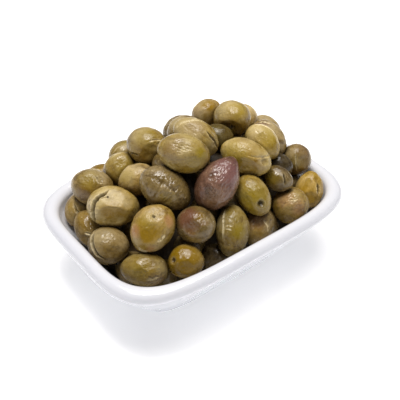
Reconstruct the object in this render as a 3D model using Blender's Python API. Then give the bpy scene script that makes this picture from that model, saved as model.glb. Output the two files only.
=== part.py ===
"""A small oblong white dish heaped with cracked green olives.

The dish is one hollow solid with a rolled rim. The olives are one heap: a core that fills the
dish, and every olive that shows fused on to it. The seen olives lie on their sight lines from
the photograph's eye, where these meet a mound, and are then settled so that they touch.
All sizes are in millimetres and are turned to metres where meshes are made.
"""
import math

import bmesh
import bpy
import numpy as np

MM = 0.001

# The dish
LENGTH = 150.0
WIDTH = 111.0
HEIGHT = 42.0
CORNER = 4.35
FOOT_INSET = 25.0
FOOT_ROUND = 2.0
ROLL = 3.8
LIP_TURN = math.radians(34.0)
WALL = 5.0
FLOOR = 5.0
COVE = 9.0
CLEAR = 0.55
OLIVE_CLEAR = 1.1
ASIDE = 0.45
PRESS = 0.15
DISH_AROUND = 72

# Where the photograph was taken from, and how many of its points a slope of one covers
LOOK_TURN = math.radians(-38.0)
LOOK_RISE = math.radians(37.8)
LOOK_FAR = 343.0
LOOK_AT = np.array([1.4, -2.5, 38.0])
LOOK_SCALE = 638.6
LOOK_MIDDLE = 200.0

# The mound that the olives' middles lie on
PEAK = np.array([15.0, 4.0])
EDGE = 30.0
RISE = 51.0
CORE_DROP = 8.0
CORE_EDGE = 23.0
CORE_AROUND = 48

# The olives that the photograph shows: name, column and row of the middle in the photograph, length and
# width in millimetres, turn of the long axis in the picture, its lean towards the eye, and how many
# millimetres it lies behind its neighbours
SEEN = [
    ("crown_left", 207, 113.6, 17.6, 14.8, 40, 0, 10),
    ("crown", 231.2, 118.8, 22.2, 19.7, 0, 60, 4),
    ("crown_back", 243.6, 119, 17.6, 16.0, -40, 30, 16),
    ("far_dark", 264.5, 129.6, 19.0, 15.8, -30, 10, 13),
    ("shoulder_back", 269, 139.2, 22.5, 17.2, -45, 0, 6),
    ("shoulder", 262, 142.8, 21.0, 15.6, -48, 0, 0),
    ("big_right", 246.2, 158.2, 26.2, 18.6, -24, 0, 0),
    ("right_top", 295, 158.4, 18.3, 17.0, 80, 50, 0),
    ("right_shade", 278.4, 179, 16.4, 13.2, -25, 10, 4),
    ("right_end", 312.4, 191.0, 20.6, 15.6, 78, 10, 6),
    ("right_round", 291.4, 204.2, 20.4, 19.0, 40, 45, 0),
    ("stemmed", 253.2, 194.2, 22.0, 16.0, -57, 10, 0),
    ("low_brown", 258, 226, 19.2, 15.6, 60, 10, 4),
    ("slit", 232.2, 232.2, 24.8, 16.6, 87, 0, 0),
    ("blush", 195.7, 225.3, 21.3, 18.2, 0, 60, 0),
    ("purple", 216.6, 185.2, 27.1, 19.8, 58, 0, 0),
    ("centre_top", 185, 152.8, 25.0, 19.0, -14, 0, -1),
    ("flap", 196.2, 138, 24.6, 17.6, -36, 0, 4),
    ("far_left", 184.6, 131, 18.8, 15.4, 20, 10, 10),
    ("tucked", 217, 137, 17.2, 15.0, 0, 20, 9),
    ("left_top", 145.4, 145.6, 21.7, 19.4, -10, 40, 0),
    ("left_back", 124.6, 155.4, 18.2, 15.6, 40, 10, 8),
    ("left_mid", 118.8, 169.4, 19.3, 15.8, 55, 10, 5),
    ("left_far", 101, 178.4, 18.4, 15.7, 20, 10, 13),
    ("left_torn", 92.6, 188, 22.0, 18.7, -15, 10, 2),
    ("mid_left", 136.6, 180.6, 19.7, 16.7, 25, 10, 7),
    ("big_left", 165.8, 187.6, 26.8, 20.0, -34, 0, -1),
    ("split", 112.2, 206.6, 25.6, 20.6, -3, 0, 0),
    ("wall_left", 76.4, 211.4, 18.6, 14.6, 70, 10, 8),
    ("wall_front", 91.4, 227.6, 20.4, 16.4, -55, 10, 1),
    ("arc_crack", 106.2, 247.4, 21.0, 18.6, -10, 30, 3),
    ("front_big", 152.6, 229.6, 24.2, 20.2, 55, 0, 0),
    ("front_low", 144.8, 268.4, 22.6, 16.4, -5, 0, 0),
    ("front_amber", 185.6, 261.6, 17.6, 16.2, 10, 30, 0),
    ("low_dark", 213, 257, 16.7, 14.0, 20, 20, 5),
    ("deep_right", 276, 165.6, 17.5, 15.0, 0, 20, 9),
]

# The olives that the photograph hides, layer by layer: drop below the mound, least and greatest length,
# closest fit to the others, greatest share open to the eye, and tries
HIDDEN = [
    (0.0, 18.5, 24.5, 0.88, 0.10, 2500),
    (8.0, 16.0, 19.5, 0.88, 0.30, 2500),
    (16.0, 18.0, 23.0, 0.86, 0.60, 2500),
]
HIDDEN_SEED = 7
SHARES = np.linspace(0.1, 0.9, 9)

BACK = np.array([math.sin(LOOK_TURN) * math.cos(LOOK_RISE),
                 -math.cos(LOOK_TURN) * math.cos(LOOK_RISE),
                 math.sin(LOOK_RISE)])
RIGHT = np.array([math.cos(LOOK_TURN), math.sin(LOOK_TURN), 0.0])
UP = np.cross(BACK, RIGHT)
EYE = LOOK_AT + BACK * LOOK_FAR


def outer_inset(z):
    """How far the outer wall stands in from the rim: a straight slant from the foot to the roll."""
    top_inset = ROLL * (1 - math.cos(LIP_TURN))
    top = HEIGHT - ROLL - ROLL * math.sin(LIP_TURN)
    return top_inset + (FOOT_INSET - top_inset) * (1 - z / top)


def inner_inset(z):
    """How far the inner wall stands in from the rim, with its cove and the half round of the rim."""
    z = np.asarray(z, float)
    slant = outer_inset(z) + WALL / math.cos(LIP_TURN)
    edge = 2 * ROLL
    wall = 0.5 * (slant + edge + np.sqrt((slant - edge) ** 2 + 1.5)) - 0.1
    wall = np.maximum(wall, edge)
    deep = np.clip((FLOOR + COVE - z) / COVE, 0, 1)
    cove = 1.25 * COVE * (1 - np.sqrt(np.maximum(1 - deep ** 2, 0)))
    over = np.clip(z - (HEIGHT - ROLL), 0, ROLL)
    half_round = np.maximum(np.sqrt(ROLL ** 2 - over ** 2), 0.45 * ROLL) - ROLL
    return wall + cove + half_round


def oval(inset, corner, directions):
    """Points of a squarish oval that stands in from the rim."""
    a = LENGTH / 2 - inset
    b = WIDTH / 2 - inset
    c, s = np.cos(directions), np.sin(directions)
    r = (np.abs(c / a) ** corner + np.abs(s / b) ** corner) ** (-1 / corner)
    return np.stack([r * c, r * s], 1)


def even_directions(count):
    """Directions that cut the rim into equal lengths, starting on the long axis."""
    fine = np.linspace(0, math.pi / 2, 2001)
    p = oval(0.0, CORNER, fine)
    run = np.concatenate([[0.0], np.cumsum(np.linalg.norm(np.diff(p, axis=0), axis=1))])
    quarter = np.interp(np.linspace(0, run[-1], count // 4 + 1), run, fine)
    return np.concatenate([quarter[:-1], math.pi - quarter[:0:-1], math.pi + quarter[:-1],
                           2 * math.pi - quarter[:0:-1]])


def mound(x, y, drop=0.0):
    """Height of the mound, or of the same mound let down by a drop and drawn in."""
    a = LENGTH / 2 - 2 * ROLL - 0.55 * drop
    b = WIDTH / 2 - 2 * ROLL - 0.55 * drop
    dx, dy = x - PEAK[0], y - PEAK[1]
    ax = np.where(dx > 0, a - PEAK[0], a + PEAK[0])
    by = np.where(dy > 0, b - PEAK[1], b + PEAK[1])
    q = (np.abs(dx / ax) ** 3 + np.abs(dy / by) ** 3) ** (1 / 3)
    return EDGE - drop + RISE * (1 - q ** 1.8)


def wall_gap(places):
    """Distance to the inner wall, positive inside, and the wall's outward normal there."""
    def level(q):
        inset = inner_inset(q[:, 2])
        a = np.maximum(LENGTH / 2 - inset, 4.0)
        b = np.maximum(WIDTH / 2 - inset, 4.0)
        return (np.abs(q[:, 0] / a) ** CORNER + np.abs(q[:, 1] / b) ** CORNER) ** (1 / CORNER)
    step = 0.5 * np.eye(3)
    slope = np.stack([level(places + step[k]) - level(places - step[k]) for k in range(3)], 1)
    size = np.linalg.norm(slope, axis=1) + 1e-9
    return (1 - level(places)) / size, slope / size[:, None]


def frame_of(long_axis):
    """Three unit axes of an olive, its long one first."""
    side = np.cross(long_axis, [0.0, 0.0, 1.0])
    if np.linalg.norm(side) < 0.05:
        side = np.cross(long_axis, [1.0, 0.0, 0.0])
    side /= np.linalg.norm(side)
    return np.stack([long_axis, side, np.cross(long_axis, side)])


def seen_frame(turn, lean, line):
    """Axes of an olive from its turn in the picture and its lean towards the eye."""
    up = UP - (UP @ line) * line
    up /= np.linalg.norm(up)
    across = np.cross(line, up)
    t, k = math.radians(turn), math.radians(lean)
    return frame_of(math.cos(k) * (math.cos(t) * across + math.sin(t) * up) - math.sin(k) * line)


def spread(axes, half):
    """Shape matrices of ellipsoids: their half lengths squared, turned into place."""
    return np.einsum("nki,nk,nkj->nij", axes, half ** 2, axes)


def reach(apart, one, two):
    """How near pairs of ellipsoids are: 1 where they just touch, less where they overlap."""
    best = np.zeros(len(apart))
    for share in SHARES:
        both = (1 - share) * one + share * two
        w = np.linalg.solve(both, apart[:, :, None])[:, :, 0]
        best = np.maximum(best, share * (1 - share) * np.einsum("ni,ni->n", apart, w))
    return np.sqrt(best)


def first_hit(column, row):
    """Where the sight line of a point in the photograph first meets the mound, or passes nearest to it."""
    line = ((column - LOOK_MIDDLE) / LOOK_SCALE * RIGHT
            - (row - LOOK_MIDDLE) / LOOK_SCALE * UP - BACK)
    line /= np.linalg.norm(line)
    t = np.arange(200.0, 460.0, 0.25)
    p = EYE + line * t[:, None]
    gap = p[:, 2] - mound(p[:, 0], p[:, 1])
    a, b = LENGTH / 2 - 2 * ROLL, WIDTH / 2 - 2 * ROLL
    level = (np.abs(p[:, 0] / a) ** CORNER + np.abs(p[:, 1] / b) ** CORNER) ** (1 / CORNER)
    gap = np.where(level < 0.93, gap, 999.0)
    hits = np.nonzero(gap <= 0)[0]
    k = hits[0] if len(hits) else int(np.argmin(gap))
    return p[k], line


def open_share(place, half_width, places, axes, half):
    """Share of an olive's outline that the seen olives leave open from the eye."""
    line = (place - EYE) / np.linalg.norm(place - EYE)
    across = np.cross(line, [0.0, 0.0, 1.0])
    across /= np.linalg.norm(across)
    up = np.cross(across, line)
    t = np.arange(12) / 12 * 2 * math.pi
    turn = np.cos(t)[:, None] * across + np.sin(t)[:, None] * up
    ring = place + half_width * np.concatenate([0.5 * turn, 0.95 * turn])
    q = np.einsum("pni,nki->pnk", ring[:, None, :] - places[None], axes) / half[None]
    v = np.einsum("i,nki->nk", -line, axes) / half
    b = np.einsum("pnk,nk->pn", q, v)
    under = b * b - (v ** 2).sum(1) * ((q ** 2).sum(2) - 1)
    hidden = (under > 0) & ((-b + np.sqrt(np.maximum(under, 0))) > 0)
    return 1 - hidden.any(1).mean()


def ball_points(count):
    """Unit directions spread evenly."""
    k = np.arange(count) + 0.5
    z = 1 - 2 * k / count
    turn = k * math.pi * (3 - math.sqrt(5))
    r = np.sqrt(1 - z * z)
    return np.stack([r * np.cos(turn), r * np.sin(turn), z], 1)


def settle(place, axes, shape, half, start, lines, layer, rounds):
    """Push olives apart, the seen ones mostly along their sight lines, and keep all in the dish."""
    count, first = len(place), len(lines)
    skin = np.einsum("pk,nk,nki->npi", ball_points(70), half, axes)
    seen = np.arange(count) < first
    for _ in range(rounds):
        i, j = np.triu_indices(count, 1)
        apart = place[j] - place[i]
        far = np.linalg.norm(apart, axis=1)
        near = far < half[i, 0] + half[j, 0]
        i, j, apart, far = i[near], j[near], apart[near], far[near]
        over = far * (1 / np.maximum(reach(apart, shape[i], shape[j]), 0.3) - 1) - 0.15
        deep = over > 0
        i, j, apart, far, over = i[deep], j[deep], apart[deep], far[deep], over[deep]
        share = np.where(seen[i] & ~seen[j], 0.12, np.where(~seen[i] & seen[j], 0.88, 0.5))
        push = apart / far[:, None] * over[:, None]
        move = np.zeros_like(place)
        np.add.at(move, i, -0.6 * push * share[:, None])
        np.add.at(move, j, 0.6 * push * (1 - share)[:, None])
        along = np.einsum("ni,ni->n", move[:first], lines)
        aside = move[:first] - along[:, None] * lines
        along = np.where(along < 0, 0.45 * along, along)
        move[:first] = along[:, None] * lines + 0.5 * aside
        place = place + move
        back = start[:first] - place[:first]
        along = np.einsum("ni,ni->n", back, lines)
        aside = back - along[:, None] * lines
        off = np.linalg.norm(aside, axis=1)
        place[:first] += 0.8 * aside * np.maximum(1 - ASIDE / np.maximum(off, 1e-6), 0)[:, None]
        place[:first] += 0.012 * np.clip(along, 0, None)[:, None] * lines
        for kind, (drop, *_) in enumerate(HIDDEN, 1):
            q = np.nonzero(layer == kind)[0]
            lift = mound(place[q, 0], place[q, 1], drop) - place[q, 2]
            place[q, 2] += np.clip(0.04 * lift, -0.2, 0.08)
        gap, normal = wall_gap((place[:, None, :] + skin).reshape(-1, 3))
        gap, normal = gap.reshape(count, -1), normal.reshape(count, -1, 3)
        worst = gap.argmin(axis=1)
        rows = np.arange(count)
        place = place - normal[rows, worst] * np.maximum(OLIVE_CLEAR - gap[rows, worst], 0)[:, None]
        place[:, 2] = np.maximum(place[:, 2], FLOOR + OLIVE_CLEAR + np.sqrt(shape[:, 2, 2]))
    return place


def lay_olives():
    """Middles, axes, half sizes and layer of every olive."""
    draw = np.random.default_rng(HIDDEN_SEED)
    place, lines, axes, half = [], [], [], []
    for name, column, row, length, width, turn, lean, behind in SEEN:
        p, line = first_hit(column, row)
        place.append(p + line * behind)
        lines.append(line)
        axes.append(seen_frame(turn, lean, line))
        half.append([length / 2, width / 2, width / 2])
    place, lines, axes, half = np.array(place), np.array(lines), np.array(axes), np.array(half)
    shape = spread(axes, half)
    start = place.copy()
    first = len(SEEN)
    layer = np.zeros(first, int)
    place = settle(place, axes, shape, half, start, lines, layer, 90)
    for kind, (drop, least, most, fit, most_open, tries) in enumerate(HIDDEN, 1):
        for _ in range(tries):
            x = draw.uniform(-1, 1) * (LENGTH / 2 - 2 * ROLL - 6 - 0.5 * drop)
            y = draw.uniform(-1, 1) * (WIDTH / 2 - 2 * ROLL - 6 - 0.5 * drop)
            yaw = draw.uniform(0, math.pi)
            tip = draw.uniform(-0.3, 0.3)
            length = draw.uniform(least, most)
            width = length * draw.uniform(0.76, 0.86)
            p = np.array([x, y, float(mound(x, y, drop))])
            if p[2] < 12:
                continue
            fall_x = float(mound(x + 1, y, drop) - mound(x - 1, y, drop)) / 2
            fall_y = float(mound(x, y + 1, drop) - mound(x, y - 1, drop)) / 2
            u = np.array([math.cos(yaw), math.sin(yaw), 0.0])
            u[2] = np.clip(fall_x * u[0] + fall_y * u[1], -1.2, 1.2) + tip
            u /= np.linalg.norm(u)
            own = frame_of(u)
            size = np.array([length / 2, width / 2, width / 2])
            own_shape = spread(own[None], size[None])
            apart = place - p
            near = np.linalg.norm(apart, axis=1) < 30
            others = shape[near]
            if near.any() and reach(apart[near], np.repeat(own_shape, len(others), 0), others).min() < fit:
                continue
            gap, normal = wall_gap(p[None])
            if gap[0] < 0.5 * math.sqrt(normal[0] @ own_shape[0] @ normal[0]):
                continue
            if open_share(p, width / 2, place[:first], axes[:first], half[:first]) > most_open:
                continue
            place = np.vstack([place, p])
            start = np.vstack([start, p])
            axes = np.concatenate([axes, own[None]])
            half = np.vstack([half, size])
            shape = np.concatenate([shape, own_shape])
            layer = np.append(layer, kind)
        place = settle(place, axes, shape, half, start, lines, layer, 60)
    return place, axes, half, layer


def clear_scene():
    for item in list(bpy.data.objects):
        bpy.data.objects.remove(item, do_unlink=True)


def make_material(name, color, roughness):
    material = bpy.data.materials.new(name)
    material.use_nodes = True
    shader = material.node_tree.nodes["Principled BSDF"]
    shader.inputs["Base Color"].default_value = (*color, 1.0)
    shader.inputs["Roughness"].default_value = roughness
    shader.inputs["Metallic"].default_value = 0.0
    material.diffuse_color = (*color, 1.0)
    return material


def add_mesh(name, points, faces, material=None):
    """A mesh object from points in millimetres."""
    mesh = bpy.data.meshes.new(name)
    mesh.from_pydata((np.asarray(points) * MM).tolist(), [], faces)
    item = bpy.data.objects.new(name, mesh)
    bpy.context.scene.collection.objects.link(item)
    if material:
        mesh.materials.append(material)
    return item


def loft(rings, closed_start=True, closed_end=True):
    """Points and faces of a skin over rings of equal count, its ends filled flat."""
    around = len(rings[0])
    faces = []
    for k in range(len(rings) - 1):
        for i in range(around):
            n = (i + 1) % around
            faces.append((k * around + i, k * around + n, (k + 1) * around + n, (k + 1) * around + i))
    if closed_start:
        faces.append(tuple(reversed(range(around))))
    if closed_end:
        faces.append(tuple((len(rings) - 1) * around + i for i in range(around)))
    return np.concatenate(rings), faces


def dish_profile():
    """Inset and height of the dish's section, from the foot over the rolled rim to the inner floor."""
    slant = math.atan2(FOOT_INSET, HEIGHT - ROLL)
    foot = FOOT_INSET + FOOT_ROUND * (1 - math.sin(slant)) / math.cos(slant)
    profile = []
    for k in range(4):
        turn = (math.pi / 2 - slant) * k / 3
        profile.append((foot - FOOT_ROUND * math.sin(turn), FOOT_ROUND * (1 - math.cos(turn))))
    for z in (12.0, 24.0):
        profile.append((outer_inset(z), z))
    for k in range(12):
        turn = -LIP_TURN + (math.pi + LIP_TURN) * k / 11
        profile.append((ROLL - ROLL * math.cos(turn), HEIGHT - ROLL + ROLL * math.sin(turn)))
    for z in (36.2, 34.0, 31.0, 22.5, FLOOR + COVE):
        profile.append((float(inner_inset(z)), z))
    for k in range(1, 6):
        z = FLOOR + COVE * (1 - math.sin(math.pi / 2 * k / 5))
        profile.append((float(inner_inset(z)), z))
    return profile


def make_dish(material):
    directions = even_directions(DISH_AROUND)
    rings = []
    for inset, z in dish_profile():
        flat = oval(inset, CORNER, directions)
        rings.append(np.column_stack([flat, np.full(len(flat), z)]))
    points, faces = loft(rings)
    return add_mesh("dish", points, faces, material)


def make_core():
    """The core: it fills the dish a little clear of the wall, and follows the mound from below."""
    directions = even_directions(CORE_AROUND)
    rings = []
    low = FLOOR + CLEAR
    for z in (low, low + 0.8, low + 2.4, low + 5.0, FLOOR + COVE, CORE_EDGE):
        flat = oval(float(inner_inset(z - CLEAR)) + CLEAR, CORNER, directions)
        rings.append(np.column_stack([flat, np.full(len(flat), z)]))
    rim = rings[-1]
    top = float(mound(PEAK[0], PEAK[1], CORE_DROP))
    for share in (0.93, 0.82, 0.68, 0.52, 0.34, 0.16):
        flat = PEAK + share * (rim[:, :2] - PEAK)
        rise = CORE_EDGE + (top - CORE_EDGE) * (1 - share ** 1.8)
        rings.append(np.column_stack([flat, np.full(len(flat), rise)]))
    points, faces = loft(rings, True, False)
    points = np.vstack([points, [PEAK[0], PEAK[1], top]])
    last = (len(rings) - 1) * CORE_AROUND
    for i in range(CORE_AROUND):
        faces.append((last + i, last + (i + 1) % CORE_AROUND, len(points) - 1))
    return add_mesh("olive_heap", points, faces)


def make_olive(name, place, axes, half, around, along):
    """An olive with few sides, as large as the round one."""
    swell = 1.0 / math.sqrt(around / (2 * math.pi) * math.sin(2 * math.pi / around))
    points = [(swell * half[0], 0.0, 0.0)]
    for k in range(1, along + 1):
        t = math.pi * k / (along + 1)
        for i in range(around):
            turn = 2 * math.pi * (i + 0.5 * (k % 2)) / around
            points.append((half[0] * swell * math.cos(t), half[1] * swell * math.sin(t) * math.cos(turn),
                           half[2] * swell * math.sin(t) * math.sin(turn)))
    points.append((-swell * half[0], 0.0, 0.0))
    faces = []
    for i in range(around):
        n = (i + 1) % around
        faces.append((0, 1 + i, 1 + n))
        for k in range(along - 1):
            a, b = 1 + k * around, 1 + (k + 1) * around
            if k % 2:
                faces.append((a + i, b + i, a + n))
                faces.append((a + n, b + i, b + n))
            else:
                faces.append((a + i, b + i, b + n))
                faces.append((a + i, b + n, a + n))
        a = 1 + (along - 1) * around
        faces.append((a + n, a + i, len(points) - 1))
    world = np.array(points) @ axes + place
    return add_mesh(name, world, faces)


def fuse(core, pieces):
    """Join the pieces to the core with one union on a collection."""
    group = bpy.data.collections.new("olives_to_join")
    bpy.context.scene.collection.children.link(group)
    for piece in pieces:
        bpy.context.scene.collection.objects.unlink(piece)
        group.objects.link(piece)
    union = core.modifiers.new("union", "BOOLEAN")
    union.operation = "UNION"
    union.operand_type = "COLLECTION"
    union.collection = group
    union.solver = "EXACT"
    seen = core.evaluated_get(bpy.context.evaluated_depsgraph_get())
    joined = bpy.data.meshes.new_from_object(seen)
    joined.name = core.name
    core.modifiers.clear()
    core.data = joined
    for piece in pieces:
        bpy.data.objects.remove(piece, do_unlink=True)
    bpy.data.collections.remove(group)


def tidy_heap(item):
    """Keep the one large shell, so that no sealed hollow or loose scrap stays, and make it of triangles."""
    mesh = bmesh.new()
    mesh.from_mesh(item.data)
    bmesh.ops.triangulate(mesh, faces=mesh.faces)
    mesh.verts.ensure_lookup_table()
    left = set(mesh.verts)
    shells = []
    while left:
        seed = left.pop()
        shell, edge = {seed}, [seed]
        while edge:
            v = edge.pop()
            for e in v.link_edges:
                o = e.other_vert(v)
                if o in left:
                    left.discard(o)
                    shell.add(o)
                    edge.append(o)
        shells.append(shell)
    shells.sort(key=len)
    for shell in shells[:-1]:
        bmesh.ops.delete(mesh, geom=list(shell), context="VERTS")
    bmesh.ops.recalc_face_normals(mesh, faces=mesh.faces)
    mesh.to_mesh(item.data)
    mesh.free()
    return len(shells)


def main():
    clear_scene()
    white = make_material("white_glaze", (0.86, 0.86, 0.88), 0.15)
    green = make_material("olive_skin", (0.19, 0.16, 0.05), 0.35)
    make_dish(white)
    core = make_core()
    place, axes, half, layer = lay_olives()
    pieces = []
    for k in range(len(place)):
        if layer[k] > 2:
            continue
        around, along = (10, 6) if layer[k] < 2 else (8, 4)
        name = SEEN[k][0] if k < len(SEEN) else "hidden_%02d" % k
        pieces.append(make_olive(name, place[k], axes[k], half[k] + PRESS, around, along))
    fuse(core, pieces)
    tidy_heap(core)
    core.data.materials.clear()
    core.data.materials.append(green)


main()
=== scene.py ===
"""Looks for the dish of olives: every olive round and cracked as in the photograph, a fine glazed dish.

The layout of the heap repeats the part's own named values and functions, so each olive here lies
where its plain one lies in the part. Sizes are in millimetres until meshes are made.
"""
import math

import bpy
import numpy as np
from mathutils import Matrix, Vector


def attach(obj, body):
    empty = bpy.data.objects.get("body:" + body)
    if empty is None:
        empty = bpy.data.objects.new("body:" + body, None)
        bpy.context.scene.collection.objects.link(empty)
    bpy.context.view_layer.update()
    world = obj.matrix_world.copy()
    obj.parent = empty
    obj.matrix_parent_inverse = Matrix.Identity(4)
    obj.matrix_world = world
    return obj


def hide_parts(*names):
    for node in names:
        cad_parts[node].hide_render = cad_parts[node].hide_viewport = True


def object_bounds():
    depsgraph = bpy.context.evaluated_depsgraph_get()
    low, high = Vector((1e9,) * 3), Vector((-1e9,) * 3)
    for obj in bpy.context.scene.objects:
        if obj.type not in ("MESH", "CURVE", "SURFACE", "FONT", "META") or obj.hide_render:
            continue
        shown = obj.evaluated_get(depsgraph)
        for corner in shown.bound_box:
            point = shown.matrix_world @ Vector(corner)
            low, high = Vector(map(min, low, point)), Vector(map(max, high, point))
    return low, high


MM = 0.001
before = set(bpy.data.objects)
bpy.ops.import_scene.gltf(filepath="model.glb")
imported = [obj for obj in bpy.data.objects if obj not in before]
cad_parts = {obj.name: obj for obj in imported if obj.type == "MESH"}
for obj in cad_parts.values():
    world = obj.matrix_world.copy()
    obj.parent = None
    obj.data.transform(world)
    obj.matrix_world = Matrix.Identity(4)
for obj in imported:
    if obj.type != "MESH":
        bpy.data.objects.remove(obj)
cad_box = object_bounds()

# The dish
LENGTH = 150.0
WIDTH = 111.0
HEIGHT = 42.0
CORNER = 4.35
FOOT_INSET = 25.0
FOOT_ROUND = 2.0
ROLL = 3.8
LIP_TURN = math.radians(34.0)
WALL = 5.0
FLOOR = 5.0
COVE = 9.0
RIM = 2 * ROLL

# How far the bed and the olives stay off the dish, how far a seen olive may stand aside from its sight line,
# and how far neighbours press into each other
CLEAR = 0.55
OLIVE_CLEAR = 1.1
ASIDE = 0.45
PRESS = 0.15

# Where the photograph was taken from, and how many of its points a slope of one covers
LOOK_TURN = math.radians(-38.0)
LOOK_RISE = math.radians(37.8)
LOOK_FAR = 343.0
LOOK_AT = np.array([1.4, -2.5, 38.0])
LOOK_SCALE = 638.6
LOOK_MIDDLE = 200.0

# The mound that the olives' middles lie on
PEAK = np.array([15.0, 4.0])
EDGE = 30.0
RISE = 51.0

# The olives that the photograph hides, layer by layer: drop below the mound, least and greatest length,
# closest fit to the others, greatest share open to the eye, and tries
HIDDEN = [
    (0.0, 18.5, 24.5, 0.88, 0.10, 2500),
    (8.0, 16.0, 19.5, 0.88, 0.30, 2500),
    (16.0, 18.0, 23.0, 0.86, 0.60, 2500),
]
HIDDEN_SEED = 7

# Widths of hidden olives as shares of their lengths, rounds of pushing for the seen olives and for each
# layer, the share of an overlap that a round undoes, how much of it a seen olive yields to a hidden one,
# how far a lower layer is drawn in for each millimetre of its drop, and the steps along a sight line
WIDTH_SHARES = (0.76, 0.86)
SEEN_ROUNDS = 90
LAYER_ROUNDS = 60
PUSH = 0.6
SEEN_YIELDS = 0.12
DRAWN_IN = 0.55
SIGHT_POINTS = np.arange(200.0, 460.0, 0.25)
SHARES = np.linspace(0.1, 0.9, 9)

BACK = np.array([math.sin(LOOK_TURN) * math.cos(LOOK_RISE),
                 -math.cos(LOOK_TURN) * math.cos(LOOK_RISE),
                 math.sin(LOOK_RISE)])
RIGHT = np.array([math.cos(LOOK_TURN), math.sin(LOOK_TURN), 0.0])
UP = np.cross(BACK, RIGHT)
EYE = LOOK_AT + BACK * LOOK_FAR

# Seeds of the olives' own draws and of each noise
FIRST_OLIVE_SEED = 1000
LUMP_SEED, WOBBLE_SEED, SCAR_SEED, WRINKLE_SEED = 3, 41, 51, 71
SKIN_SEED, FINE_SEED, ROUGH_SEED, GLAZE_SEED, BED_SEED = 81, 83, 85, 91, 95

# Cuts: how much their width wobbles, over which share of their length they run out, how high and how pale
# the lower lip is beside the upper one, how far a lip reaches in millimetres, and from which depth, over
# which span, they turn dark inside with painted shade
WOBBLE = 0.35
TAPER = 0.28
LOW_LIP = 0.12
LOW_LIP_PALE = 0.45
LIP_REACH = 2.2
DARK_FROM = 0.5
DARK_SPAN = 0.8

# Skins: heights in millimetres, and how many lumps, wrinkles or pores go to a millimetre
FLAT_SOFTNESS = 0.011
LUMP_SHIFT = 7.3
LUMP_PER_MM = 0.11
LUMP_HEIGHT = 0.32
SKIN_SHIFT = 31.7
SKIN_HEIGHT = 0.18
NET_PER_MM = np.array([0.40, 0.85, 0.85])
NET_ACROSS_PER_MM = np.array([0.90, 0.30, 0.30])
NET_HEIGHT = 0.27
FINE_PER_MM = np.array([0.6, 1.0, 1.0])
FINE_HEIGHT = 0.11
# How far from a neighbour, in millimetres, the painted shade where olives touch reaches
PAINTED_SHADE_REACH = 3.2
TONE_SPREAD = 0.18
GREEN_BEHIND = 0.55
HEAP_TOP = cad_box[1][2] / MM - 0.03

# Meshes: steps along a side of an olive's ball, and around the dish and the bed
SEEN_STEPS = 16
BEHIND_STEPS = 14
UNDER_STEPS = 10
OPEN_SIDE = -0.15
DISH_STEPS = 288
DISH_WITHIN = 0.03
GLAZE_PER_MM = 0.05
GLAZE_WAVE = 0.22
BED_STEPS = 96
BED_EDGE = 18.0
BED_DROP = 17.0

# The floor, and the lights: name, place and size in metres, power and colour
FLOOR_SIZE = 6.0
FLOOR_GLOW = 0.40
WORLD_LIGHT = 0.125
LIGHTS = [
    ("overhead", (0.06, 0.06, 0.95), (0.7, 0.7), 9.5, (1.0, 0.965, 0.93)),
    ("sparkle", (-0.10, 0.02, 0.80), (0.14, 0.14), 1.6, (1.0, 0.96, 0.93)),
    ("front_fill", (0.90, -1.1, 0.16), (1.3, 0.3), 1.3, (0.90, 0.91, 1.0)),
    ("left_fill", (-1.3, -0.10, 0.16), (1.0, 0.3), 1.2, (0.90, 0.91, 1.0)),
]


def lengths(rows):
    return np.linalg.norm(rows, axis=1)


def unit(vector):
    return vector / np.linalg.norm(vector)


def outer_inset(z):
    """How far the outer wall stands in from the rim: a straight slant from the foot to the roll."""
    top_inset = ROLL * (1 - math.cos(LIP_TURN))
    top = HEIGHT - ROLL - ROLL * math.sin(LIP_TURN)
    return top_inset + (FOOT_INSET - top_inset) * (1 - z / top)


def inner_inset(z):
    """How far the inner wall stands in from the rim, with its cove and the half round of the rim."""
    z = np.asarray(z, float)
    slant = outer_inset(z) + WALL / math.cos(LIP_TURN)
    wall = 0.5 * (slant + RIM + np.sqrt((slant - RIM) ** 2 + 1.5)) - 0.1
    wall = np.maximum(wall, RIM)
    deep = np.clip((FLOOR + COVE - z) / COVE, 0, 1)
    cove = 1.25 * COVE * (1 - np.sqrt(np.maximum(1 - deep ** 2, 0)))
    over = np.clip(z - (HEIGHT - ROLL), 0, ROLL)
    half_round = np.maximum(np.sqrt(ROLL ** 2 - over ** 2), 0.45 * ROLL) - ROLL
    return wall + cove + half_round


def oval(inset, directions):
    """Points of a squarish oval that stands in from the rim."""
    a = LENGTH / 2 - inset
    b = WIDTH / 2 - inset
    c, s = np.cos(directions), np.sin(directions)
    r = (np.abs(c / a) ** CORNER + np.abs(s / b) ** CORNER) ** (-1 / CORNER)
    return np.stack([r * c, r * s], 1)


def even_directions(count):
    """Directions that cut the rim into equal lengths, starting on the long axis."""
    fine = np.linspace(0, math.pi / 2, 2001)
    p = oval(0.0, fine)
    run = np.concatenate([[0.0], np.cumsum(lengths(np.diff(p, axis=0)))])
    quarter = np.interp(np.linspace(0, run[-1], count // 4 + 1), run, fine)
    return np.concatenate([quarter[:-1], math.pi - quarter[:0:-1], math.pi + quarter[:-1],
                           2 * math.pi - quarter[:0:-1]])


def squarish(x, y, a, b):
    """How far out points lie in a squarish oval of half lengths a and b, 1 on its edge."""
    return (np.abs(x / a) ** CORNER + np.abs(y / b) ** CORNER) ** (1 / CORNER)


def mound(x, y, drop=0.0):
    """Height of the mound, or of the same mound let down by a drop and drawn in."""
    a = LENGTH / 2 - RIM - DRAWN_IN * drop
    b = WIDTH / 2 - RIM - DRAWN_IN * drop
    dx, dy = x - PEAK[0], y - PEAK[1]
    ax = np.where(dx > 0, a - PEAK[0], a + PEAK[0])
    by = np.where(dy > 0, b - PEAK[1], b + PEAK[1])
    q = (np.abs(dx / ax) ** 3 + np.abs(dy / by) ** 3) ** (1 / 3)
    return EDGE - drop + RISE * (1 - q ** 1.8)


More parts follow.
